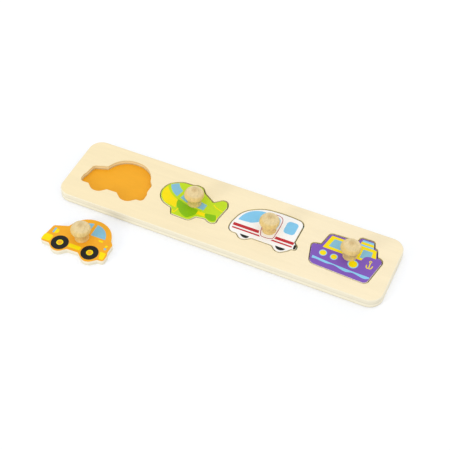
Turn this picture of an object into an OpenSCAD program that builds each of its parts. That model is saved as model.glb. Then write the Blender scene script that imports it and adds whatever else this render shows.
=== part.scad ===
// Wooden peg puzzle: a long board with four bays, and a vehicle on a knob for each bay.
// The board is two boards glued face to face. The upper one is cut through for the bays.
// Origin: middle of the board's underside. +X runs along the row, +Y to its back, +Z up.
// The car has been taken out of its bay and lies on the table in front of it.

/* [Board] */
// Width of the board
board_width = 72; // [66:1:100]
// Thickness of the base board, which is the floor of the bays
base_thickness = 4.5; // [3:0.5:9]
// Thickness of the frame board, which is the depth of the bays
frame_thickness = 4.5; // [3:0.5:9]
// Radius of the board's four corners
board_corner_r = 12; // [6:0.5:20]
// Radius of the sanded arris along the outer edges
arris_r = 0.8; // [0.3:0.1:2]

/* [Bays] */
// Clearance between a piece and the wall of its bay
bay_clearance = 1.1; // [0.6:0.1:1.6]
// Width of the frame left between two bays
bay_gap = 8.4; // [6:0.1:14]
// Width of the frame left of the car's bay
left_margin = 12.45; // [8:0.05:30]
// Width of the frame right of the boat's bay
right_margin = 11.05; // [8:0.05:30]

/* [Pieces] */
// Thickness of the four vehicle pieces
piece_thickness = 5; // [4:0.5:10]
// Length of the car
car_length = 60.8; // [56:0.1:63]
// Height of the car's outline, wheels to roof
car_height = 44; // [38:0.1:48]
// Length of the plane
plane_length = 60.8; // [56:0.1:63]
// Height of the plane's outline, wing tip to roof
plane_height = 39.7; // [36:0.1:48]
// Length of the camper van
van_length = 61.2; // [56:0.1:63]
// Height of the camper van's outline, wheels to roof
van_height = 40.1; // [36:0.1:48]
// Length of the boat
boat_length = 59.7; // [56:0.1:63]
// Height of the boat's outline, keel to funnel
boat_height = 44.7; // [38:0.1:48]
// How far the car's bay lies behind the board's middle line
car_rise = 1.9; // [-1:0.1:4]
// How far the plane's bay lies behind the board's middle line
plane_rise = 1.8; // [-1:0.1:4]
// How far the camper van's bay lies behind the board's middle line
van_rise = 1.6; // [-1:0.1:4]
// How far the boat's bay lies behind the board's middle line
boat_rise = 2.6; // [-1:0.1:4]

/* [Car beside the board] */
// Clear distance from the board's front edge to the car
car_stand_off = 12.7; // [2:0.1:80]
// How far the car lies right of its bay
car_sidestep = 1.3; // [-40:0.1:40]
// Angle that the car is turned from its place in the bay
car_turn = 0.6; // [-20:0.1:20]

/* [Knobs] */
// Width of a knob's head
knob_head_d = 17.4; // [15:0.1:22]
// Width of a knob's foot, where it stands on the piece
knob_foot_d = 12.4; // [10:0.1:14]
// Width of a knob's waist
knob_waist_d = 11.8; // [9:0.1:13]
// Height of a knob
knob_height = 16.4; // [13:0.1:22]

/* [Screws] */
// Diameter of a wood screw
screw_d = 3.5; // [3:0.1:4.5]
// Diameter of a screw's countersunk head
screw_head_d = 6.8; // [6:0.1:8.4]
// Length of a screw, head to point
screw_length = 14; // [11:0.5:16]
// How far a head is sunk below the piece's underside
screw_sink = 0.3; // [0.1:0.1:0.6]
// Play of the screw in the piece's hole, on the radius
screw_play = 0.15; // [0.05:0.05:0.4]
// How deep the thread bites into the knob, on the radius
thread_bite = 0.35; // [0.1:0.05:0.5]
// Width of one wing of the cross recess
drive_width = 0.8; // [0.5:0.1:1.2]
// Span of the cross recess
drive_span = 3.6; // [2.4:0.1:4.2]
// Depth of the cross recess
drive_depth = 1.1; // [0.6:0.1:1.5]

/* [Hidden] */
$fn = 64;

// Overrun of every cut past the face it opens
cut = 1;
// Largest angle between two points of a rounded corner
arc_step = 9;
// Most of an edge that the arcs at its two ends may take up
fit_share = 0.99;
// Segments from the waist to the widest ring of a knob, and from there to its top
dome_steps = 12;

pine = "#f2dcae";
car_orange = "#f4aa32";
plane_green = "#badd2f";
van_white = "#fdfbfa";
boat_purple = "#835eba";
knob_wood = "#e6cd96";
screw_steel = "#c9ccd0";

// Outlines of the vehicles, counter-clockwise. Each corner is a share of the length, a share of
// the height, and its radius as a share of the smaller of the two.
car_shares = [
    [0.001, 0.124, 0.06], [0.14, 0.124, 0.045], [0.287, -0.064, 0.175], [0.428, 0.124, 0.056],
    [0.601, 0.132, 0.056], [0.762, -0.06, 0.178], [0.909, 0.122, 0.056], [1, 0.128, 0.06],
    [1, 0.288, 0.07], [0.978, 0.362, 0.08], [0.98, 0.566, 0.06], [0.928, 0.637, 0.08],
    [0.823, 1.008, 0.455], [0.353, 0.993, 0.45], [0.244, 0.657, 0.038],
    [0.042, 0.556, 0.063], [0.02, 0.34, 0.08], [0, 0.27, 0.06]
];
plane_shares = [
    [0.325, 0.016, 0.036], [0.597, 0.001, 0.1], [0.664, 0.157, 0.064], [0.799, 0.193, 0.09],
    [0.9, 0.118, 0.13], [0.966, 0.165, 0.07], [0.96, 0.29, 0.2], [1.001, 0.666, 0.135],
    [0.963, 0.816, 0.078], [0.893, 0.821, 0.09], [0.783, 0.67, 0.052], [0.598, 0.843, 0.045],
    [0.524, 0.978, 0.11], [0.443, 1, 0.11], [0.368, 0.96, 0.09],
    [0.218, 0.955, 0.33], [0.041, 0.806, 0.285], [-0.012, 0.53, 0.33],
    [0.079, 0.275, 0.36], [0.271, 0.184, 0.052]
];
van_shares = [
    [0.003, 0.112, 0.14], [0.14, 0.113, 0.054], [0.238, -0.023, 0.13], [0.369, 0.115, 0.054],
    [0.673, 0.112, 0.054], [0.783, -0.044, 0.14], [0.9, 0.108, 0.05], [0.94, 0.183, 0.034],
    [0.992, 0.188, 0.03], [0.991, 0.286, 0.035], [0.932, 0.369, 0.04], [0.935, 0.966, 0.145],
    [0.662, 1.007, 1.45], [0.321, 0.981, 0.72], [0.06, 0.73, 0.48], [-0.004, 0.36, 0.48]
];
boat_shares = [
    [0.074, 0.046, 0.13], [0.917, -0.004, 0.09], [1.013, 0.655, 0.094], [0.904, 0.655, 0.022],
    [0.856, 0.84, 0.042], [0.814, 0.847, 0.022], [0.779, 1.001, 0.056], [0.588, 0.997, 0.049],
    [0.57, 0.882, 0.018], [0.166, 0.856, 0.065], [0.117, 0.54, 0.022], [-0.018, 0.508, 0.062]
];

// The four bays from left to right: outline, size, distance behind the middle line
outlines = [car_shares, plane_shares, van_shares, boat_shares];
sizes = [[car_length, car_height], [plane_length, plane_height],
         [van_length, van_height], [boat_length, boat_height]];
rises = [car_rise, plane_rise, van_rise, boat_rise];
// How far each piece has slid to the front of its bay, as a share of the clearance
settle_shares = [0, 0.35, 0.35, 0.6];
// Where each knob stands, as shares of its vehicle's length and height
knob_place_shares = [[0.52, 0.494], [0.537, 0.505], [0.53, 0.478], [0.55, 0.502]];
car = 0;
plane = 1;
van = 2;
boat = 3;

bay_lengths = [for (s = sizes) s[0] + 2 * bay_clearance];
// The row of bays and its margins give the board its length
board_length = left_margin + total(bay_lengths) + (len(bay_lengths) - 1) * bay_gap + right_margin;

// Height of a knob's widest ring and depth of the round underside of its head,
// as shares of its height
knob_widest_share = 0.646;
knob_underside_share = 0.315;
// Height of a knob's waist as a share of its height
knob_waist_share = 0.15;

screw_r = screw_d / 2;
screw_head_r = screw_head_d / 2;
screw_neck_r = screw_r + screw_play;
pilot_r = screw_r - thread_bite;
// The head's cone rises by as much as it narrows
screw_head_height = screw_head_r - screw_r;
screw_point_height = 2 * screw_r;
// The pilot hole runs on past the screw's point
pilot_spare = 0.6;

function total(v, i = 0) = i < len(v) ? v[i] + total(v, i + 1) : 0;
function before(v, n, i = 0) = i < n ? v[i] + before(v, n, i + 1) : 0;
function direction(a, b) = (b - a) / norm(b - a);
function outward(d) = [d[1], -d[0]];
function turn(d1, d2) = sign(d1[0] * d2[1] - d1[1] * d2[0]);

// Middle of bay i, seen from above
function bay_middle(i) = [
    left_margin - board_length / 2 + before(bay_lengths, i) + i * bay_gap + bay_lengths[i] / 2,
    rises[i]
];

// Corner points of vehicle i about the middle of its outline
function corners(i) =
    [for (p = outlines[i]) [(p[0] - 1 / 2) * sizes[i][0], (p[1] - 1 / 2) * sizes[i][1]]];

// Points of an arc that rounds the tip between two directions
function rounded(tip, d1, d2, radius) =
    radius == 0 ? [tip] :
    let (bend = turn(d1, d2),
         angle = acos(min(1, d1 * d2)),
         start = tip - d1 * radius * tan(angle / 2),
         centre = start - bend * radius * outward(d1),
         first = atan2(start[1] - centre[1], start[0] - centre[0]),
         steps = ceil(angle / arc_step))
    [for (k = [0 : steps]) centre + radius * [cos(first + bend * angle * k / steps),
                                              sin(first + bend * angle * k / steps)]];

// Outline of vehicle i, with a margin of grow all round. An outward corner gains the margin on
// its radius and an inward one loses it. Where two arcs don't fit on an edge, both give way.
function outline(i, grow = 0) =
    let (p = corners(i), n = len(p),
         d = [for (k = [0 : n - 1]) direction(p[k], p[(k + 1) % n])],
         back = [for (k = [0 : n - 1]) d[(k + n - 1) % n]],
         tips = [for (k = [0 : n - 1])
             p[k] + grow * (outward(back[k]) + outward(d[k])) / (1 + back[k] * d[k])],
         radii = [for (k = [0 : n - 1])
             max(0, outlines[i][k][2] * min(sizes[i]) + turn(back[k], d[k]) * grow)],
         reach = [for (k = [0 : n - 1]) radii[k] * tan(acos(min(1, back[k] * d[k])) / 2)],
         fit = [for (k = [0 : n - 1]) let (next = (k + 1) % n)
             min(1, fit_share * norm(tips[next] - tips[k]) / (reach[k] + reach[next]))])
    [for (k = [0 : n - 1])
        each rounded(tips[k], back[k], d[k], radii[k] * min(fit[k], fit[(k + n - 1) % n]))];

// Where the knob stands on vehicle i, from the middle of its outline
function knob_place(i) =
    [for (k = [0, 1]) (knob_place_shares[i][k] - 1 / 2) * sizes[i][k]];

// Profile of a knob, from its axis at the foot round to its axis at the top.
// The foot narrows to the waist, and the head is a flattened ball.
function knob_profile() =
    let (head_r = knob_head_d / 2, waist_r = knob_waist_d / 2, foot_r = knob_foot_d / 2,
         widest = knob_widest_share * knob_height,
         under = knob_underside_share * knob_height,
         over = knob_height - widest,
         waist_z = knob_waist_share * knob_height,
         leave = acos(waist_r / head_r))
    concat(
        [[0, 0]],
        [for (k = [0 : dome_steps / 3]) let (t = 90 * k / (dome_steps / 3))
            [foot_r - (foot_r - waist_r) * sin(t), waist_z * k / (dome_steps / 3)]],
        [for (k = [0 : dome_steps]) let (t = -leave * (1 - k / dome_steps))
            [head_r * cos(t), widest + under * sin(t)]],
        [for (k = [1 : dome_steps]) let (t = 90 * k / dome_steps)
            [head_r * cos(t), widest + over * sin(t)]]
    );

// Board blank in plan
module blank() {
    x = board_length / 2 - board_corner_r;
    y = board_width / 2 - board_corner_r;
    square([board_length, 2 * y], center = true);
    square([2 * x, board_width], center = true);
    for (sx = [-1, 1], sy = [-1, 1])
        translate([sx * x, sy * y]) circle(r = board_corner_r);
}

// What the sander takes off an arris: a square less a quarter circle
module arris_profile() {
    difference() {
        square(arris_r + cut);
        circle(r = arris_r);
    }
}

// Waste along the upper outer edge of a board of the given thickness
module arris_waste(thickness) {
    x = board_length / 2 - board_corner_r;
    y = board_width / 2 - board_corner_r;
    for (side = [0, 1])
        rotate(180 * side) translate([0, 0, thickness - arris_r]) {
            translate([-x, board_width / 2 - arris_r, 0])
                rotate([90, 0, 90]) linear_extrude(2 * x) arris_profile();
            translate([board_length / 2 - arris_r, y, 0])
                rotate([90, 0, 0]) linear_extrude(2 * y) arris_profile();
            translate([x, y, 0])
                rotate_extrude(angle = 90) translate([board_corner_r - arris_r, 0]) arris_profile();
            translate([-x, y, 0])
                rotate(90) rotate_extrude(angle = 90)
                    translate([board_corner_r - arris_r, 0]) arris_profile();
        }
}

// Board blank with its upper outer arris rounded
module board(thickness) {
    difference() {
        linear_extrude(thickness) blank();
        arris_waste(thickness);
    }
}

// Puts a child where vehicle i lies: in its bay, or beside the board for the car.
// The child's origin is the middle of the vehicle's underside.
module at_rest(i) {
    if (i == car)
        translate([bay_middle(car)[0] + car_sidestep,
                   -board_width / 2 - car_stand_off - car_height / 2, 0])
            rotate(car_turn) children();
    else
        translate([bay_middle(i)[0], bay_middle(i)[1] - settle_shares[i] * bay_clearance,
                   base_thickness]) children();
}

// Hole for the screw through a piece, with the countersink for its head
module screw_hole() {
    translate([0, 0, -cut]) cylinder(h = piece_thickness + 2 * cut, r = screw_neck_r);
    translate([0, 0, -cut]) cylinder(h = cut + screw_sink, r = screw_head_r);
    translate([0, 0, screw_sink])
        cylinder(h = screw_head_height, r1 = screw_head_r, r2 = screw_r);
}

module piece(i, colour) {
    color(colour) at_rest(i)
        difference() {
            linear_extrude(piece_thickness) polygon(outline(i));
            translate(knob_place(i)) screw_hole();
        }
}

module knob(i) {
    pilot_depth = screw_sink + screw_length + pilot_spare - piece_thickness;
    color(knob_wood) at_rest(i) translate(concat(knob_place(i), piece_thickness))
        difference() {
            rotate_extrude() polygon(knob_profile());
            translate([0, 0, -cut]) cylinder(h = pilot_depth + cut, r = pilot_r);
        }
}

// Countersunk wood screw with its head down, driven up through the piece into the knob
module screw(i) {
    color(screw_steel) at_rest(i) translate(concat(knob_place(i), screw_sink))
        difference() {
            rotate_extrude() polygon([
                [0, 0], [screw_head_r, 0], [screw_r, screw_head_height],
                [screw_r, screw_length - screw_point_height], [0, screw_length]
            ]);
            for (a = [0, 90]) rotate(a)
                translate([-drive_span / 2, -drive_width / 2, -cut])
                    cube([drive_span, drive_width, drive_depth + cut]);
        }
}

// Lower board, rounded along the edge that meets the table
module base_board() {
    color(pine) translate([0, 0, base_thickness]) mirror([0, 0, 1]) board(base_thickness);
}

// Upper board, cut through along the outline of every vehicle with its clearance
module frame_board() {
    color(pine) translate([0, 0, base_thickness])
        difference() {
            board(frame_thickness);
            for (i = [car, plane, van, boat])
                translate(concat(bay_middle(i), -cut))
                    linear_extrude(frame_thickness + 2 * cut) polygon(outline(i, bay_clearance));
        }
}

module car_piece() { piece(car, car_orange); }
module plane_piece() { piece(plane, plane_green); }
module van_piece() { piece(van, van_white); }
module boat_piece() { piece(boat, boat_purple); }

module car_knob() { knob(car); }
module plane_knob() { knob(plane); }
module van_knob() { knob(van); }
module boat_knob() { knob(boat); }

module car_screw() { screw(car); }
module plane_screw() { screw(plane); }
module van_screw() { screw(van); }
module boat_screw() { screw(boat); }

base_board();
frame_board();
car_piece();
plane_piece();
van_piece();
boat_piece();
car_knob();
plane_knob();
van_knob();
boat_knob();
car_screw();
plane_screw();
van_screw();
boat_screw();
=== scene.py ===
"""Looks of the wooden peg puzzle: printed plywood vehicles, turned knobs and the glued board.

Sizes in the helpers are millimetres, as on a drawing; MM turns them into the frame's metres.
"""

import math

import bpy
import numpy as np
from mathutils import Matrix, Vector, geometry


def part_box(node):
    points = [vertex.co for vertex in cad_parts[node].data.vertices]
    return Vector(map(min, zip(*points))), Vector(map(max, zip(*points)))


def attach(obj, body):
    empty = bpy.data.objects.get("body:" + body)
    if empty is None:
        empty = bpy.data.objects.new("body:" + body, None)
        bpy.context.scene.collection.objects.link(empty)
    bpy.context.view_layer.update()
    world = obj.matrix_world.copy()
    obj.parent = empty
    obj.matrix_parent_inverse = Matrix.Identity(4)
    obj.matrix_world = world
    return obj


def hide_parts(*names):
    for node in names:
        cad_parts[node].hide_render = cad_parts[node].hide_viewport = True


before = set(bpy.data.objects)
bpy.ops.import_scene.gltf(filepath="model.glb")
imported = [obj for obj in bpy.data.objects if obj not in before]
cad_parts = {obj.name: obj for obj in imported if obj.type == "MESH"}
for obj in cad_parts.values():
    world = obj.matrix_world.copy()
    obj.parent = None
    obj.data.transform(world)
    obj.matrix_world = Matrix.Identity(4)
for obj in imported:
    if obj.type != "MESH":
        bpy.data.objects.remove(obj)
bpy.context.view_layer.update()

MM = 0.001

# Colours, as the eye reads them
BOARD_WOOD = "#fdecc2"
# The board's wood at its right end: painted paler, as painted light
BOARD_WOOD_PAINTED_LIGHT = "#fff0cd"
PLY_EDGE = "#f3ebd2"
BAY_WALL = "#efe1b2"
BARE_PLY = "#f3e3bd"
KNOB_END_GRAIN = "#ead09b"
# The knobs' shoulder, painted paler than their grain as a painted highlight
KNOB_SHOULDER_PAINTED_HIGHLIGHT = "#ecd4a2"
KNOB_SIDE_GRAIN = "#e8c983"
STEEL = "#c9ccd0"
PAINTS = {
    "orange": "#f9b028",
    "green": "#c4e220",
    "dark_green": "#8ac50c",
    "white": "#fffdfa",
    "purple": "#845cbe",
    "yellow": "#ffe600",
    "blue": "#89c3db",
    "sky": "#87cdf2",
    "foam": "#90d2f5",
    "red": "#c62f37",
    "maroon": "#b02c48",
    "black": "#202220",
}
WHITE = (1, 1, 1, 1)

# Where along the board its wood is painted paler, as painted light that falls more on its right end
PAINTED_LIGHT_START = -110
PAINTED_LIGHT_END = 90

# How finely round shapes are drawn: degrees for each step of a bowed edge, else steps
BOW_STEP = 9
CIRCLE_SIDES = 48
CORNER_STEPS = 8
CURVE_STEPS = 6

# The boards and pieces
BOARD_ARRIS = 0.8
BAY_ARRIS = 0.2
PIECE_ARRIS = 0.3
ARRIS_STEPS = 4
# Points this close together are one
WELD = 1e-4
# An outline that turns by less than this, in radians, runs straight on
STRAIGHT = 1e-3
# How far in from the arris a painted shape must reach to colour it too
BORDER = 0.05
# The order of a slab's materials. Those of the shapes painted on top come last
UPPER_FACE, LOWER_FACE, OUTER_WALL, UPPER_ARRIS, INNER_WALL, FIRST_SHAPE = range(6)

# The turned knobs, as radii and shares of their height
WAIST_RADIUS = 5.9
FOOT_RADIUS = 6.2
FOOT_EASE = 0.2
WIDEST_SHARE = 0.646
UNDERSIDE_SHARE = 0.315
WAIST_SHARE = 0.15
KNOB_SIDES = 96
NECK_STEPS = 8
UNDERSIDE_STEPS = 16
DOME_STEPS = 24
# How far the grain of each knob is turned, in radians
KNOB_TURNS = (0.9, 2.2, 0.2, 1.5)
# The way the pale end grain of the knobs faces: up. Its tilt a little to the right is painted shade, which
# takes the golden side grain higher up the knobs' left flanks
END_GRAIN_AND_PAINTED_SHADE_WAY = (0.15, 0.07, 0.986)

VEHICLES = ("car", "plane", "van", "boat")
BAY_FLOORS = ("orange", "green", "sky", "purple")
# How far the car on the table is turned out of line with its bay
CAR_TURN = math.radians(0.6)
# Where the middle of each print lies, from the knob's axis
PRINT_MIDDLES = {"car": (-0.49, 0.2), "plane": (-2.25, -0.24), "van": (-1.84, 0.81), "boat": (-3, 0.29)}

# The floor, as far as it reaches each way in metres. It glows a little to the eye, and more behind the
# board and to its right, each between two distances from the middle of the frame
FLOOR_REACH = 6
FLOOR_WHITE = (0.805, 0.82, 0.86, 1)
FLOOR_GLOW = 0.19
BEHIND_START = 20
BEHIND_END = 60
BEHIND_GLOW = 0.27
BESIDE_START = 140
BESIDE_END = 160
BESIDE_GLOW = 0.235

# The room's light: full from the camera's right, less from its left
ROOM_FULL = 1.005
ROOM_LESS = 0.705
CAMERA_LEFT = (-0.906, -0.423, 0)

# The lamp: where it stands as seen from the board, and its metres and watts
LAMP_WAY = (-0.429, -0.842, 0.326)
LAMP_DISTANCE = 1.7
LAMP_SIZE = 0.45
LAMP_POWER = 5.8

# The camera: angles in degrees
CAMERA_AZIMUTH = 25.077
CAMERA_ELEVATION = 48.593
CAMERA_ROLL = -0.223
CAMERA_AIM = (-1.46, -2.11, -1.14)
CAMERA_DISTANCE = 909.2
CAMERA_LENS = 83.98


def linear(code):
    """A colour code's red, green, blue and alpha, as light."""
    parts = [int(code[i : i + 2], 16) / 255 for i in (1, 3, 5)]
    return [c / 12.92 if c <= 0.04045 else ((c + 0.055) / 1.055) ** 2.4 for c in parts] + [1]


# Flat shapes: arrays of points, in order round the shape


def arc_through(start, end, bow):
    """Points from start up to but not end, on an arc that bows out to the right by bow."""
    start, end = np.array(start, float), np.array(end, float)
    chord = end - start
    half = np.linalg.norm(chord) / 2
    if not bow:
        return [start]
    radius = (half * half + bow * bow) / (2 * bow)
    right = np.array([chord[1], -chord[0]]) / (2 * half)
    centre = (start + end) / 2 + right * (bow - radius)
    sweep = 4 * math.atan(bow / half)
    steps = max(2, math.ceil(abs(sweep) / math.radians(BOW_STEP)))
    arm = start - centre
    turned = []
    for k in range(steps):
        c, s = math.cos(sweep * k / steps), math.sin(sweep * k / steps)
        turned.append(centre + [c * arm[0] - s * arm[1], s * arm[0] + c * arm[1]])
    return turned


def patch(*corners):
    """A shape from its corners, counter-clockwise. A third number bows the edge after a corner outwards."""
    points = []
    for k, corner in enumerate(corners):
        after = corners[(k + 1) % len(corners)]
        bow = corner[2] if len(corner) > 2 else 0
        points += arc_through(corner[:2], after[:2], bow)
    return np.array(points)


def disc(x, y, radius):
    """A circle's points."""
    turn = np.arange(CIRCLE_SIDES) * 2 * math.pi / CIRCLE_SIDES
    return np.stack([x + radius * np.cos(turn), y + radius * np.sin(turn)], 1)


def rounded_box(x0, y0, x1, y1, radius):
    """An upright rectangle with round corners."""
    middles = [(x1 - radius, y0 + radius, -90), (x1 - radius, y1 - radius, 0),
               (x0 + radius, y1 - radius, 90), (x0 + radius, y0 + radius, 180)]
    points = []
    for x, y, first in middles:
        for k in range(CORNER_STEPS + 1):
            t = math.radians(first + 90 * k / CORNER_STEPS)
            points.append((x + radius * math.cos(t), y + radius * math.sin(t)))
    return np.array(points)


def flowing(knots, closed=False):
    """Points along smooth curves through the knots."""
    knots = np.array(knots, float)
    count = len(knots)
    line = []
    for k in range(count if closed else count - 1):
        if closed:
            p = [knots[(k + j) % count] for j in (-1, 0, 1, 2)]
        else:
            p = [knots[min(max(k + j, 0), count - 1)] for j in (-1, 0, 1, 2)]
        for t in np.arange(CURVE_STEPS) / CURVE_STEPS:
            line.append(0.5 * (2 * p[1] + (p[2] - p[0]) * t
                               + (2 * p[0] - 5 * p[1] + 4 * p[2] - p[3]) * t**2
                               + (3 * p[1] - p[0] - 3 * p[2] + p[3]) * t**3))
    if not closed:
        line.append(knots[-1])
    return np.array(line)


def stroke(width, *points, closed=False):
    """A line of even width along smooth curves through the points, with round ends."""
    line = flowing(points, closed)
    ahead = np.roll(line, -1, 0) - np.roll(line, 1, 0)
    if not closed:
        ahead[0] = line[1] - line[0]
        ahead[-1] = line[-1] - line[-2]
    ahead /= np.linalg.norm(ahead, axis=1)[:, None]
    side = np.stack([-ahead[:, 1], ahead[:, 0]], 1) * width / 2
    if closed:
        return [line + side, (line - side)[::-1]]
    round_end = np.radians([45, 90, 135])
    last = [line[-1] - math.cos(t) * side[-1] + math.sin(t) * ahead[-1] * width / 2 for t in round_end]
    first = [line[0] + math.cos(t) * side[0] - math.sin(t) * ahead[0] * width / 2 for t in round_end]
    return np.concatenate([line - side, last, (line + side)[::-1], first])


def inside(points, loops):
    """Which points lie inside an odd number of the closed lines."""
    found = np.zeros(len(points), int)
    x, y = points[:, 0:1], points[:, 1:2]
    for a in loops:
        b = np.roll(a, -1, 0)
        spans = (a[:, 1] > y) != (b[:, 1] > y)
        with np.errstate(divide="ignore", invalid="ignore"):
            cut = a[:, 0] + (y - a[:, 1]) * (b[:, 0] - a[:, 0]) / (b[:, 1] - a[:, 1])
        found += (spans & (x < cut)).sum(1)
    return found % 2 == 1


def cover(points, shapes):
    """For each point the number of the last shape over it, or -1."""
    found = np.full(len(points), -1)
    for k, (_, shape) in enumerate(shapes):
        found[inside(points, shape if isinstance(shape, list) else [shape])] = k
    return found


# Sawn boards


def face_loops(node, side):
    """The outlines of a CAD node's flat upper (1) or lower (-1) face, in mm, with the wood on the left."""
    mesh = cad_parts[node].data
    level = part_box(node)[1 if side > 0 else 0].z
    places = {}
    keys = []
    for v in mesh.vertices:
        key = (round(v.co.x / MM, 3), round(v.co.y / MM, 3))
        places.setdefault(key, (v.co.x / MM, v.co.y / MM))
        keys.append(key)
    edges = set()
    for polygon in mesh.polygons:
        corners = list(polygon.vertices)
        if all(abs(mesh.vertices[v].co.z - level) < WELD * MM for v in corners):
            for a, b in zip(corners, corners[1:] + corners[:1]):
                if keys[a] != keys[b]:
                    edges.add((keys[a], keys[b]))
    after = {a: b for a, b in edges if (b, a) not in edges}
    loops = []
    while after:
        start, here = next(iter(after.items()))
        del after[start]
        loop = [places[start]]
        while here != start:
            loop.append(places[here])
            here = after.pop(here)
        points = np.array(loop[::1 if side > 0 else -1])
        ahead = np.roll(points, -1, 0) - points
        back = points - np.roll(points, 1, 0)
        bend = np.abs(ahead[:, 0] * back[:, 1] - ahead[:, 1] * back[:, 0])
        reach = np.linalg.norm(ahead, axis=1) * np.linalg.norm(back, axis=1)
        loops.append(points[bend > STRAIGHT * reach])
    return sorted(loops, key=lambda p: -np.ptp(p[:, 0]))


def moved_in(loop, distance):
    """An outline moved towards its wood, all round."""
    ahead = np.roll(loop, -1, 0) - loop
    ahead /= np.linalg.norm(ahead, axis=1)[:, None]
    back = np.roll(ahead, 1, 0)
    left = np.stack([-ahead[:, 1] - back[:, 1], ahead[:, 0] + back[:, 0]], 1)
    return loop + distance * left / (1 + (ahead * back).sum(1))[:, None]


def tiled(loops, shapes=()):
    """Triangles that fill the outlines, and for each the number of the last shape over it, or -1."""
    points, edges = [], []
    flat = [part for _, shape in shapes for part in (shape if isinstance(shape, list) else [shape])]
    for line in list(loops) + flat:
        first = len(points)
        points += [Vector(p) for p in line]
        edges += [(first + k, first + (k + 1) % len(line)) for k in range(len(line))]
    made = geometry.delaunay_2d_cdt(points, edges, [], 0, WELD)
    places = np.array([tuple(p) for p in made[0]])
    triangles = np.array([tuple(f) for f in made[2]])
    middles = places[triangles].mean(1)
    kept = inside(middles, loops)
    triangles = triangles[kept]
    top = cover(middles[kept], shapes)
    a, b, c = (places[triangles[:, k]] for k in range(3))
    turned = (b - a)[:, 0] * (c - a)[:, 1] - (b - a)[:, 1] * (c - a)[:, 0] < 0
    triangles[turned] = triangles[turned][:, ::-1]
    return places, triangles, top


def on_edges(loop, places):
    """The places on an outline in order, as (edge number, share along it)."""
    found = []
    for k, start in enumerate(loop):
        step = loop[(k + 1) % len(loop)] - start
        share = (places - start) @ step / (step @ step)
        off = np.linalg.norm(places - start - share[:, None] * step, axis=1)
        near = WELD / np.linalg.norm(step)
        on = np.flatnonzero((off < 5 * WELD) & (share > -near) & (share < 1 - near))
        found += [(k, s) for s in sorted(max(0.0, share[i]) for i in on)]
    return found


def along(loop, spots):
    """Points of an outline at the given spots."""
    after = np.roll(loop, -1, 0)
    return np.array([loop[k] * (1 - s) + after[k] * s for k, s in spots])


def arris_rings(low, high, low_arris, high_arris):
    """(distance moved in, height) of each ring up a wall, round its lower and upper arris."""
    rings = []
    quarter = [math.radians(90 * k / ARRIS_STEPS) for k in range(ARRIS_STEPS + 1)]
    if low_arris:
        rings += [(low_arris * (1 - math.sin(t)), low + low_arris * (1 - math.cos(t))) for t in quarter]
    else:
        rings.append((0, low))
    if high_arris:
        rings += [(high_arris * (1 - math.cos(t)), high - high_arris * (1 - math.sin(t))) for t in quarter]
    else:
        rings.append((0, high))
    return rings


def slab(name, loops, low, high, arrises, materials, shapes=()):
    """A sawn board inside its outlines, the outer one first. arrises has one (lower, upper) radius for
    each outline, and materials one for each surface and then for each shape painted on top."""
    vertices, faces, finish = [], [], []

    def add_face(corners, material):
        faces.append(corners)
        finish.append(material)

    def add_plane(lines, height, marks, material, up):
        places, triangles, top = tiled(lines, marks)
        first = len(vertices)
        vertices.extend((x, y, height) for x, y in places)
        for triangle, mark in zip(triangles, top):
            corners = [first + int(v) for v in triangle]
            add_face(corners if up else corners[::-1], material if mark < 0 else FIRST_SHAPE + int(mark))
        return places, first

    upper = [moved_in(loop, a[1]) for loop, a in zip(loops, arrises)]
    lower = [moved_in(loop, a[0]) for loop, a in zip(loops, arrises)]
    top_places, top_first = add_plane(upper, high, shapes, UPPER_FACE, True)
    spots = [on_edges(loop, top_places) for loop in upper]
    spaced_low = [along(loop, s) for loop, s in zip(lower, spots)]
    low_places, low_first = add_plane(spaced_low, low, (), LOWER_FACE, False)
    for number, (loop, arris, spot) in enumerate(zip(loops, arrises, spots)):
        rings = arris_rings(low, high, *arris)
        rows = []
        for move, height in rings:
            line = along(moved_in(loop, move), spot)
            if height == high:
                first, places = top_first, top_places
            elif height == low:
                first, places = low_first, low_places
            else:
                rows.append(list(range(len(vertices), len(vertices) + len(line))))
                vertices.extend((x, y, height) for x, y in line)
                continue
            gaps = np.linalg.norm(places[None] - line[:, None], axis=2)
            rows.append([first + int(k) for k in gaps.argmin(1)])
        rim = along(moved_in(loop, arris[1] + BORDER), spot)
        marks = cover((rim + np.roll(rim, -1, 0)) / 2, shapes)
        for r in range(len(rows) - 1):
            rounded = arris[1] and r >= len(rows) - 1 - ARRIS_STEPS / 2
            for k, mark in enumerate(marks):
                n = (k + 1) % len(spot)
                if number:
                    material = INNER_WALL
                elif not rounded:
                    material = OUTER_WALL
                elif mark < 0:
                    material = UPPER_ARRIS
                else:
                    material = FIRST_SHAPE + int(mark)
                add_face([rows[r][k], rows[r][n], rows[r + 1][n], rows[r + 1][k]], material)
    mesh = bpy.data.meshes.new(name)
    mesh.from_pydata([(x * MM, y * MM, z * MM) for x, y, z in vertices], [], faces)
    used = sorted(set(finish))
    for k in used:
        mesh.materials.append(materials[k])
    mesh.polygons.foreach_set("material_index", [used.index(k) for k in finish])
    walls = (OUTER_WALL, UPPER_ARRIS, INNER_WALL)
    mesh.polygons.foreach_set("use_smooth", [k in walls for k in finish])
    mesh.validate()
    made = bpy.data.objects.new(name, mesh)
    bpy.context.scene.collection.objects.link(made)
    smoothing = made.modifiers.new("even_normals", "WEIGHTED_NORMAL")
    smoothing.mode = "FACE_AREA"
    smoothing.weight = 100
    smoothing.keep_sharp = True
    return made


# Materials


def grey(value):
    """A colour of even red, green and blue."""
    return (value, value, value, 1)


def shade(code, factor):
    """A colour made lighter or darker."""
    return [c * factor for c in linear(code)[:3]] + [1]


def add_node(tree, kind, inputs=(), **settings):
    """A node with the given settings. Its inputs are linked to sockets or set to values."""
    made = tree.nodes.new(kind)
    for key, value in settings.items():
        setattr(made, key, value)
    for key, value in dict(inputs).items():
        if isinstance(value, bpy.types.NodeSocket):
            tree.links.new(value, made.inputs[key])
        else:
            made.inputs[key].default_value = value
    return made


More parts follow.
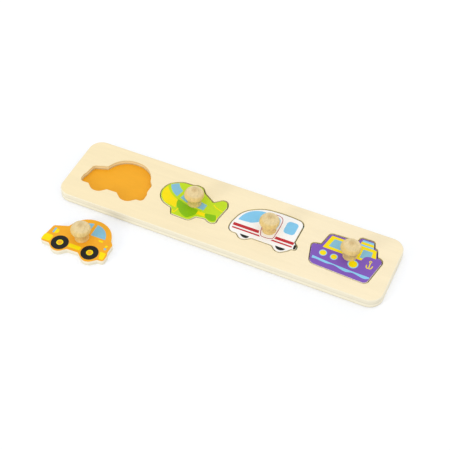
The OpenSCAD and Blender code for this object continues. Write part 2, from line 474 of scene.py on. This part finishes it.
class Surface:
    """A material under construction: adds nodes and joins them."""

    def __init__(self, name, roughness, **sockets):
        self.material = bpy.data.materials.new(name)
        self.material.use_nodes = True
        self.tree = self.material.node_tree
        self.shader = self.tree.nodes["Principled BSDF"]
        self.shader.inputs["Roughness"].default_value = roughness
        for socket, value in sockets.items():
            self.shader.inputs[socket.replace("_", " ")].default_value = value

    def node(self, kind, inputs=(), **settings):
        return add_node(self.tree, kind, inputs, **settings)

    def coordinates(self):
        """The object's own X, Y and Z."""
        where = self.node("ShaderNodeTexCoord").outputs["Object"]
        return self.node("ShaderNodeSeparateXYZ", {0: where}).outputs

    def place(self, size, turn=(0, 0, 0), origin=(0, 0, 0)):
        """Coordinates in which a feature of the given size, in mm each way, measures 1."""
        where = self.node("ShaderNodeTexCoord").outputs["Object"]
        moved = self.node("ShaderNodeVectorMath", {0: where, 1: [c * MM for c in origin]},
                          operation="SUBTRACT").outputs[0]
        return self.node("ShaderNodeMapping", {"Vector": moved, "Rotation": turn,
                                               "Scale": [1 / (s * MM) for s in size]}).outputs[0]

    def noise(self, where, detail=2.0, roughness=0.5, distortion=0.0):
        return self.node("ShaderNodeTexNoise", {
            "Vector": where, "Scale": 1.0, "Detail": detail, "Roughness": roughness,
            "Distortion": distortion}).outputs["Fac"]

    def ramp(self, value, *stops):
        """Reads a colour from (position, colour) stops."""
        made = self.node("ShaderNodeValToRGB", {"Fac": value})
        elements = made.color_ramp.elements
        for k, (position, tone) in enumerate(stops):
            element = elements[k] if k < 2 else elements.new(position)
            element.position = position
            element.color = tone
        return made.outputs["Color"]

    def fit(self, value, start, end, low=0.0, high=1.0):
        """Maps values from start to end onto those from low to high."""
        return self.node("ShaderNodeMapRange", {
            "Value": value, "From Min": start, "From Max": end, "To Min": low, "To Max": high}).outputs[0]

    def blend(self, amount, a, b, kind="MIX"):
        return self.node("ShaderNodeMix", {0: amount, 6: a, 7: b}, data_type="RGBA",
                         blend_type=kind).outputs[2]

    def fleck(self, tone, dark, pattern, full, none, amount):
        """Mixes in a dark tone: by amount where the pattern is below full, not at all above none."""
        return self.blend(self.ramp(pattern, (full, grey(amount)), (none, grey(0))), tone, dark)

    def colour(self, source):
        """Uses the colour for the whole surface."""
        self.tree.links.new(source, self.shader.inputs["Base Color"])

    def bump(self, height, depth):
        """Raises the surface by up to depth mm where height is 1."""
        made = self.node("ShaderNodeBump", {"Height": height, "Strength": 1.0, "Distance": depth * MM})
        self.tree.links.new(made.outputs[0], self.shader.inputs["Normal"])


def board_face(name, code, painted_light_code):
    """Pale pine with a faint long grain, under a thin clear coat. Towards its right end it is painted paler,
    as painted light.
    """
    s = Surface(name, 0.45, Specular_IOR_Level=0.2)
    figure = s.noise(s.place((90, 6, 6)), 3, 0.55, 0.5)
    fibres = s.noise(s.place((12, 0.45, 0.45)), 2)
    pores = s.noise(s.place((1.6, 0.12, 0.12)), 1)
    # Painted light: the wood turns paler towards the board's right end
    share = s.fit(s.coordinates()["X"], PAINTED_LIGHT_START * MM, PAINTED_LIGHT_END * MM)
    tone = s.blend(share, linear(code), linear(painted_light_code))
    tone = s.fleck(tone, shade(code, 0.4), figure, 0.35, 0.6, 0.05)
    tone = s.fleck(tone, shade(code, 0.78), fibres, 0.32, 0.56, 0.09)
    s.colour(tone)
    s.bump(s.blend(0.4, fibres, pores), 0.015)
    return s.material


def ply_edge(name, code, layers):
    """The sawn edge of plywood: layers are (height in mm, brightness) from the bottom up. They draw the plies
    and glue lines, and at some edges the lowest of them are painted shade.
    """
    s = Surface(name, 0.62, Specular_IOR_Level=0.25)
    low, high = layers[0][0], layers[-1][0]
    wander = s.fit(s.noise(s.place((22, 22, 40)), 1), 0, 1, -0.1 * MM, 0.1 * MM)
    height = s.node("ShaderNodeMath", {0: s.coordinates()["Z"], 1: wander}, operation="ADD").outputs[0]
    stops = [((z - low) / (high - low), shade(code, b)) for z, b in layers]
    tone = s.ramp(s.fit(height, low * MM, high * MM), *stops)
    streaks = s.noise(s.place((3.2, 3.2, 0.16)), 3, 0.6)
    pores = s.noise(s.place((0.35, 0.35, 0.3)), 2)
    tone = s.fleck(tone, shade(code, 0.66), streaks, 0.38, 0.62, 0.12)
    tone = s.fleck(tone, shade(code, 0.6), pores, 0.3, 0.5, 0.1)
    s.colour(tone)
    s.bump(s.blend(0.5, streaks, pores), 0.03)
    return s.material


def paint(name, code):
    """Screen-printed colour that lets the veneer's grain show through a little."""
    s = Surface(name, 0.45, Specular_IOR_Level=0.15)
    fibres = s.noise(s.place((5, 0.3, 0.3)), 3, 0.6)
    cloud = s.noise(s.place((14, 5, 5)), 2)
    tone = s.ramp(cloud, (0.35, shade(code, 0.97)), (0.65, linear(code)))
    tone = s.fleck(tone, shade(code, 0.75), fibres, 0.3, 0.52, 0.1)
    s.colour(tone)
    s.bump(fibres, 0.012)
    return s.material


def turned_wood(name, centre, turn):
    """A turned blank: blotchy end grain on top and golden side grain below, with a painted highlight that
    makes it palest at its shoulder. The golden side grain reaches higher on its left flank, as painted shade.
    """
    s = Surface(name, 0.42, Specular_IOR_Level=0.3)
    layers = s.noise(s.place((2.8, 6, 30), (0.3, 0, turn), centre), 3, 0.6, 1.5)
    cloud = s.noise(s.place((2.1, 2.1, 2.6), origin=centre), 3, 0.6, 0.8)
    fibres = s.noise(s.place((0.4, 0.4, 3.5), origin=centre), 2)
    reach = s.node("ShaderNodeVectorMath", {0: s.place((3, 3, 1e5), origin=centre)}, operation="LENGTH")
    facing = s.node("ShaderNodeTexCoord").outputs["Normal"]
    # Painted shade: the end grain's way leans to the right, so the golden side grain reaches higher on the
    # left flank
    up = s.node("ShaderNodeVectorMath", {0: facing, 1: END_GRAIN_AND_PAINTED_SHADE_WAY}, operation="DOT_PRODUCT")
    # Painted highlight: the two shoulder stops make the knob palest at its shoulder
    tone = s.ramp(up.outputs["Value"], (0.57, linear(KNOB_SIDE_GRAIN)), (0.8, linear(KNOB_SHOULDER_PAINTED_HIGHLIGHT)),
                  (0.9, shade(KNOB_SHOULDER_PAINTED_HIGHLIGHT, 1.03)), (1, shade(KNOB_END_GRAIN, 0.97)))
    for grain, dark, pale in ((layers, 0.9, 1.04), (cloud, 0.9, 1.06), (fibres, 0.98, 1)):
        veins = s.ramp(grain, (0.34, (dark, dark, dark * 0.97, 1)), (0.66, (pale, pale, pale, 1)))
        tone = s.blend(1, tone, veins, "MULTIPLY")
    middle = s.ramp(reach.outputs["Value"], (0.2, (0.89, 0.82, 0.75, 1)), (1, WHITE))
    tone = s.blend(1, tone, middle, "MULTIPLY")
    s.colour(tone)
    s.bump(fibres, 0.015)
    return s.material


def steel(name, code):
    """Bright steel with fine scratches along its length."""
    s = Surface(name, 0.32, Metallic=1.0)
    scratches = s.noise(s.place((0.08, 0.08, 1.2)), 3, 0.6)
    s.colour(s.ramp(scratches, (0.3, shade(code, 0.75)), (0.7, linear(code))))
    s.bump(scratches, 0.01)
    return s.material


# The print on each vehicle, from the middle of its outline: (paint, shape), the first lowest


def car_print():
    """A small saloon, seen from its side."""
    shapes = [
        ("yellow", rounded_box(-32, -14.8, -22.8, -7.7, 1.6)),
        ("yellow", patch((24.6, -14.8), (27.2, -14.8, 0.4), (28.3, -13.4), (27.8, -8.2, 0.2), (27, -7.5),
                         (23, -7.5, 0.2), (22.5, -8.4))),
        ("yellow", rounded_box(-6, -13.7, 5.4, -9.7, 0.7)),
        ("blue", patch((6, 5.4), (19.7, 5.4, 3.3), (6, 17.9))),
        ("blue", patch((-10.8, 5.4), (2.9, 5.4), (2.9, 17.9, 3.1))),
        ("yellow", rounded_box(15, 1.8, 19.3, 3.5, 0.8)),
        ("yellow", patch((-24.2, -4.9, 3.5), (-24.2, 0.3))),
        ("blue", rounded_box(-25.9, -4.9, -24.2, 0.9, 0.6)),
        ("yellow", disc(24.2, -0.6, 1.2)),
        ("blue", disc(24.5, -3.5, 1.1)),
    ]
    for x, y in ((-14.1, -12.4), (14.5, -12.1)):
        hub = y + 0.1
        shapes += [("black", disc(x, y, 7.7)), ("yellow", disc(x, hub, 2.95)), ("orange", disc(x, hub, 2))]
    return "orange", shapes


def plane_print():
    """A passenger plane that flies to the left."""
    wing = [(-12.2, -2.2), (-9.3, -2.4), (-6, -3.6), (-1, -4.9), (4.4, -5.7), (8, -6.2), (9.2, -8),
            (8.4, -12.5), (4.4, -17.1), (1.6, -17.8), (-3.8, -15.3), (-9.7, -9.8), (-11.8, -6.2)]
    tail = [(16.4, -7.2), (20.3, -6.2), (24.6, -5.5), (26.3, -6.4), (27.4, -9.4), (26.6, -12),
            (23.2, -12.9), (18.7, -11.5), (16.7, -9.4)]
    return "green", [
        ("yellow", patch((-27.7, 8.8, 3), (-24.3, -7.1, 0.6), (-19.5, -9.7), (-10.2, -11.5), (-12.1, -4.6),
                         (-12.2, -2.6, -1.6))),
        ("blue", patch((-26, 11.4, 1.5), (-15, 0.9), (-12.9, 8.9, -0.8), (-20, 15.7, 0.4))),
        ("blue", patch((-11.6, 0.5), (-2.9, -2.8), (7.1, -4.1), (13, -4.5), (13.7, 2, 1.1), (-10.4, 5))),
        ("yellow", patch((9, -10.7), (18, -10.7), (16.3, -7.1), (8.8, -7.1))),
        ("dark_green", flowing(wing, closed=True)),
        ("dark_green", flowing(tail, closed=True)),
        ("yellow", stroke(1.1, (-7.9, -11.6), (-8.5, -14.4), (-9.5, -16.8), (-10.6, -16.4), (-11.4, -14.8))),
        ("yellow", stroke(0.9, (18.9, 4.6), (22.4, 2.5), (28.6, 0.7))),
        ("yellow", stroke(0.6, (26.4, -5.6), (27.9, -9.6))),
    ]


def van_print():
    """A camper van with two red stripes and a door."""
    door = stroke(0.65, (1.4, 17.3), (5, 16.9), (7.5, 15.3), (8.8, 12.2), (9.2, 5), (9, -3), (8.5, -8.2),
                  (6.3, -9.8), (2.4, -10.4), (-1.6, -10), (-3.3, -7), (-4.6, -2.5), (-5.2, 4), (-4.6, 12),
                  (-2, 16.6), closed=True)
    return "white", [
        ("sky", patch((-26.9, -0.9, 0.2), (-15.5, -0.1, 0.5), (-8.3, 4.9), (-8, 16.2, 5.2))),
        ("sky", rounded_box(13.1, 1.2, 23.3, 15.2, 3.2)),
        ("sky", patch((-3.4, 2.6), (6.9, 2.6, 0.6), (7.4, 10.4, 0.5), (5, 15), (-2.6, 15))),
        ("red", patch((-28.9, -8.4), (-4.7, -8.4), (-5.4, -5.2), (-28.9, -5.2))),
        ("red", patch((9.8, -8.4), (26.9, -8.4), (26.9, -5.3), (10.1, -5.3))),
        ("red", patch((-28.3, -11.5), (-2.2, -11.5), (-3.5, -9.9), (-28.3, -9.9))),
        ("red", patch((7.6, -11.5), (26.7, -11.5), (26.7, -9.9), (9, -9.9))),
        ("maroon", door),
        ("black", patch((-18.9, -15, 0.5), (-15.4, -17.7, 0.3), (-12.4, -17.8, 0.5), (-10.5, -15))),
        ("black", patch((13.4, -14.9, 3.3), (22.7, -14.9))),
        ("black", patch((28, -11.6), (29, -13), (32, -13), (32, -7.2), (28.2, -7.2), (27.7, -8.4))),
    ]


def boat_print():
    """A steamer that sails to the right."""
    crests = flowing([(-25.2, -15.4), (-21, -15.1), (-12.7, -16.1), (-5.5, -15.4), (4.6, -18), (11.4, -16.7),
                      (21, -18.6), (25.6, -17.2)])
    wave = np.concatenate([crests, flowing([(25.6, -15.5), (9, -15.1), (-10, -14), (-25.5, -12.4)])])
    shapes = [
        ("foam", patch((7.3, 18.6), (18.2, 18.6), (17.8, 20.7), (7.3, 20.7))),
        ("yellow", patch((6.7, 15.8), (18.8, 15.8), (18.3, 18.6), (6.8, 18.6))),
        ("foam", patch((7, 14), (18.9, 14), (18.6, 15.8), (7, 15.8))),
        ("yellow", patch((-21, -0.6), (13.1, -1.3), (14.3, 1.8, -0.5), (17.2, 4.7, -0.2), (20, 5.1),
                         (24, 5.1), (21.6, 13.2, 0.3), (18.6, 14), (-18, 14.2))),
        ("blue", patch((-16.8, 2.3), (-1, 1.5), (-2, 11.5), (-14.8, 11.5))),
        ("blue", patch((11, 1.2), (14, 1.2), (14.3, 1.8, -0.5), (17.2, 4.7, -0.2), (20, 5.1), (19.3, 10.8),
                       (11, 10.8))),
        ("foam", wave),
    ]
    for x, y, radius, halo in ((-18.4, -6.5, 2.75, 3.4), (-8.6, -7, 2.6, 3.35), (8.5, -7.8, 3.65, 4.55)):
        shapes += [("foam", disc(x, y, halo)), ("yellow", disc(x, y, radius))]
    shapes += [
        ("yellow", disc(21.1, 0.4, 1.25)),
        ("purple", disc(21.1, 0.4, 0.65)),
        ("yellow", stroke(0.9, (21.2, -0.8), (21.5, -3.4), (21.6, -6.2))),
        ("yellow", stroke(0.9, (19.1, -4), (19.4, -5.9), (20.4, -7), (21.6, -6.5), (22.7, -6.9), (23.7, -5.9),
                          (24.1, -3.6))),
    ]
    return "purple", shapes


# Building the object

board_wood = board_face("board_wood", BOARD_WOOD, BOARD_WOOD_PAINTED_LIGHT)
bare_ply = board_face("piece_veneer", BARE_PLY, BARE_PLY)
# The three lowest stops darken the board's lower arris as painted shade where it meets the table; the rest
# are its plies and glue lines
board_edge = ply_edge("board_edge", PLY_EDGE, (
    (0, 0.8), (0.5, 0.85), (0.8, 0.97), (1, 0.92), (1.5, 0.93), (1.7, 1.05), (4.2, 1.06), (4.4, 0.88),
    (5, 0.89), (5.3, 0.98), (8.1, 0.99), (8.3, 1.04), (9, 1.06)))
# The two lowest stops make the bay walls darkest where they meet the bay floors: partly a darker ply, partly
# painted shade in the corner of the bay
bay_wall = ply_edge("bay_wall", BAY_WALL, (
    (4.5, 0.66), (5.9, 0.78), (6.1, 1.03), (7.4, 1.05), (7.6, 0.84), (8.4, 0.88), (8.6, 1.04), (9, 1.05)))
low_edge = ply_edge("piece_edge_on_table", PLY_EDGE, (
    (0, 1), (1.4, 1), (1.5, 0.9), (2.2, 0.92), (2.4, 1.02), (5, 1.05)))
high_edge = ply_edge("piece_edge_in_bay", PLY_EDGE, (
    (4.5, 0.98), (5.9, 0.98), (6, 0.86), (6.7, 0.88), (6.9, 1), (9.5, 1.04)))
paints = {name: paint("paint_" + name, code) for name, code in PAINTS.items()}


def stand_for(made, node, body):
    """Puts a mesh on a body in the place of a CAD node."""
    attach(made, body)
    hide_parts(node)


def build_piece(vehicle, printed, edge):
    """A vehicle's plywood piece with its print."""
    node = vehicle + "_piece"
    low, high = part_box(node)
    axis = sum(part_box(vehicle + "_knob"), Vector()) / 2 / MM
    middle = axis.xy + Vector(PRINT_MIDDLES[vehicle])
    turn = CAR_TURN if vehicle == "car" else 0
    spin = np.array([[math.cos(turn), math.sin(turn)], [-math.sin(turn), math.cos(turn)]])
    ground, shapes = printed

    def put(shape):
        if isinstance(shape, list):
            return [put(part) for part in shape]
        return shape @ spin + [middle.x, middle.y]

    outline = face_loops(node, 1)[0]
    placed = [(colour, put(shape)) for colour, shape in shapes]
    finishes = [paints[ground], bare_ply, edge, paints[ground], edge]
    finishes += [paints[colour] for colour, _ in placed]
    made = slab(vehicle + "_printed_piece", [outline], low.z / MM, high.z / MM,
                [(PIECE_ARRIS, PIECE_ARRIS)], finishes, placed)
    stand_for(made, node, vehicle)


def build_board():
    """The base board with its painted bay floors, and the frame board over it."""
    low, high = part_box("base_board")
    outline = face_loops("base_board", 1)[0]
    bays = face_loops("frame_board", -1)[1:]
    bays.sort(key=lambda loop: loop[:, 0].mean())
    floors = [(colour, loop[::-1]) for colour, loop in zip(BAY_FLOORS, bays)]
    bare = [board_wood, board_wood, board_edge, board_edge, bay_wall]
    painted = bare + [paints[colour] for colour in BAY_FLOORS]
    base = slab("base_board_sanded", [outline], low.z / MM, high.z / MM, [(BOARD_ARRIS, 0)], painted, floors)
    stand_for(base, "base_board", "board")
    low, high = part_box("frame_board")
    loops = face_loops("frame_board", -1)
    arrises = [(0, BOARD_ARRIS)] + [(0, BAY_ARRIS)] * (len(loops) - 1)
    top = slab("frame_board_sanded", loops, low.z / MM, high.z / MM, arrises, bare)
    stand_for(top, "frame_board", "board")


def build_knob(vehicle, turn):
    """A turned knob: a foot, a waist and a head like a ball pressed a little flat."""
    node = vehicle + "_knob"
    low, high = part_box(node)
    middle = (low + high) / 2
    height = (high.z - low.z) / MM
    head = (high.x - low.x) / 2 / MM
    widest, under = WIDEST_SHARE * height, UNDERSIDE_SHARE * height
    waist = WAIST_SHARE * height
    leave = math.acos(WAIST_RADIUS / head)
    profile = [(0, 0), (FOOT_RADIUS - FOOT_EASE, 0), (FOOT_RADIUS, FOOT_EASE)]
    for k in range(1, NECK_STEPS + 1):
        t = math.pi / 2 * k / NECK_STEPS
        profile.append((FOOT_RADIUS - (FOOT_RADIUS - WAIST_RADIUS) * math.sin(t), waist * k / NECK_STEPS))
    for k in range(UNDERSIDE_STEPS + 1):
        t = -leave * (1 - k / UNDERSIDE_STEPS)
        profile.append((head * math.cos(t), widest + under * math.sin(t)))
    for k in range(1, DOME_STEPS):
        t = math.pi / 2 * k / DOME_STEPS
        profile.append((head * math.cos(t), widest + (height - widest) * math.sin(t)))
    profile.append((0, height))
    vertices, faces, rows = [], [], []
    for radius, z in profile:
        count = KNOB_SIDES if radius else 1
        rows.append(list(range(len(vertices), len(vertices) + count)))
        for k in range(count):
            a = 2 * math.pi * k / KNOB_SIDES
            vertices.append((middle.x + radius * MM * math.cos(a), middle.y + radius * MM * math.sin(a),
                             low.z + z * MM))
    for below, above in zip(rows, rows[1:]):
        for k in range(KNOB_SIDES):
            n = (k + 1) % KNOB_SIDES
            if len(below) == 1:
                faces.append([below[0], above[n], above[k]])
            elif len(above) == 1:
                faces.append([below[k], below[n], above[0]])
            else:
                faces.append([below[k], below[n], above[n], above[k]])
    mesh = bpy.data.meshes.new(vehicle + "_turned_knob")
    mesh.from_pydata(vertices, [], faces)
    mesh.polygons.foreach_set("use_smooth", [True] * len(faces))
    centre = [middle.x / MM, middle.y / MM, low.z / MM]
    mesh.materials.append(turned_wood(vehicle + "_knob_wood", centre, turn))
    made = bpy.data.objects.new(vehicle + "_turned_knob", mesh)
    bpy.context.scene.collection.objects.link(made)
    stand_for(made, node, vehicle)


build_board()
build_piece("car", car_print(), low_edge)
build_piece("plane", plane_print(), high_edge)
build_piece("van", van_print(), high_edge)
build_piece("boat", boat_print(), high_edge)
for vehicle, turn in zip(VEHICLES, KNOB_TURNS):
    build_knob(vehicle, turn)
screw_steel = steel("screw_steel", STEEL)
for vehicle in VEHICLES:
    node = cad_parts[vehicle + "_screw"]
    node.data.materials.clear()
    node.data.materials.append(screw_steel)

# The stage: a pale floor, soft light and the camera


def build_floor():
    """A pale floor that glows a little to the eye but lights nothing."""
    mesh = bpy.data.meshes.new("floor")
    corners = [(x * FLOOR_REACH, y * FLOOR_REACH, 0) for x, y in ((-1, -1), (1, -1), (1, 1), (-1, 1))]
    mesh.from_pydata(corners, [], [(0, 1, 2, 3)])
    floor = bpy.data.objects.new("floor", mesh)
    bpy.context.scene.collection.objects.link(floor)
    s = Surface("floor_white", 0.9)
    s.shader.inputs["Base Color"].default_value = FLOOR_WHITE
    path = s.node("ShaderNodeLightPath")
    seen = s.node("ShaderNodeMath", {0: path.outputs["Is Camera Ray"], 1: path.outputs["Is Glossy Ray"]},
                  operation="MAXIMUM")
    where = s.coordinates()
    behind = s.fit(where["Y"], BEHIND_START * MM, BEHIND_END * MM, FLOOR_GLOW, BEHIND_GLOW)
    beside = s.fit(where["X"], BESIDE_START * MM, BESIDE_END * MM, FLOOR_GLOW, BESIDE_GLOW)
    lit = s.node("ShaderNodeMath", {0: behind, 1: beside}, operation="MAXIMUM")
    glow = s.node("ShaderNodeMath", {0: seen.outputs[0], 1: lit.outputs[0]}, operation="MULTIPLY")
    s.shader.inputs["Emission Color"].default_value = WHITE
    s.tree.links.new(glow.outputs[0], s.shader.inputs["Emission Strength"])
    mesh.materials.append(s.material)


def build_world():
    """White to the camera, and to all else an even room, a little darker from the camera's left."""
    world = bpy.data.worlds.new("studio")
    bpy.context.scene.world = world
    world.use_nodes = True
    tree = world.node_tree
    tree.nodes.clear()
    path = add_node(tree, "ShaderNodeLightPath")
    where = add_node(tree, "ShaderNodeTexCoord").outputs["Generated"]
    leftness = add_node(tree, "ShaderNodeVectorMath", {0: where, 1: CAMERA_LEFT}, operation="DOT_PRODUCT")
    strength = add_node(tree, "ShaderNodeMapRange", {
        "Value": leftness.outputs["Value"], "To Min": ROOM_FULL, "To Max": ROOM_LESS})
    room = add_node(tree, "ShaderNodeBackground", {"Color": WHITE, "Strength": strength.outputs[0]})
    white = add_node(tree, "ShaderNodeBackground", {"Color": WHITE, "Strength": 1})
    mix = add_node(tree, "ShaderNodeMixShader", {
        0: path.outputs["Is Camera Ray"], 1: room.outputs[0], 2: white.outputs[0]})
    add_node(tree, "ShaderNodeOutputWorld", {0: mix.outputs[0]})


def add_lamp(name, towards, distance, size, power):
    """A square soft lamp that shines at the board from the direction towards it."""
    light = bpy.data.lights.new(name, "AREA")
    light.size = size
    light.energy = power
    lamp = bpy.data.objects.new(name, light)
    bpy.context.scene.collection.objects.link(lamp)
    lamp.location = Vector(towards).normalized() * distance
    lamp.rotation_mode = "QUATERNION"
    lamp.rotation_quaternion = Vector(towards).to_track_quat("Z", "Y")


def add_camera():
    """The photograph's view: a level lens, turned by a hair, that looks down on the board."""
    azimuth = math.radians(CAMERA_AZIMUTH)
    elevation = math.radians(CAMERA_ELEVATION)
    back = Vector((math.sin(azimuth) * math.cos(elevation), -math.cos(azimuth) * math.cos(elevation),
                   math.sin(elevation)))
    roll = Matrix.Rotation(math.radians(CAMERA_ROLL), 4, "Z").to_quaternion()
    camera = bpy.data.objects.new("camera", bpy.data.cameras.new("camera"))
    bpy.context.scene.collection.objects.link(camera)
    camera.data.lens = CAMERA_LENS
    camera.rotation_mode = "QUATERNION"
    camera.rotation_quaternion = back.to_track_quat("Z", "Y") @ roll
    camera.location = (Vector(CAMERA_AIM) + back * CAMERA_DISTANCE) * MM
    bpy.context.scene.camera = camera


build_floor()
build_world()
add_lamp("low_front_softbox", LAMP_WAY, LAMP_DISTANCE, LAMP_SIZE, LAMP_POWER)
add_camera()
bpy.context.scene.view_settings.view_transform = "Standard"
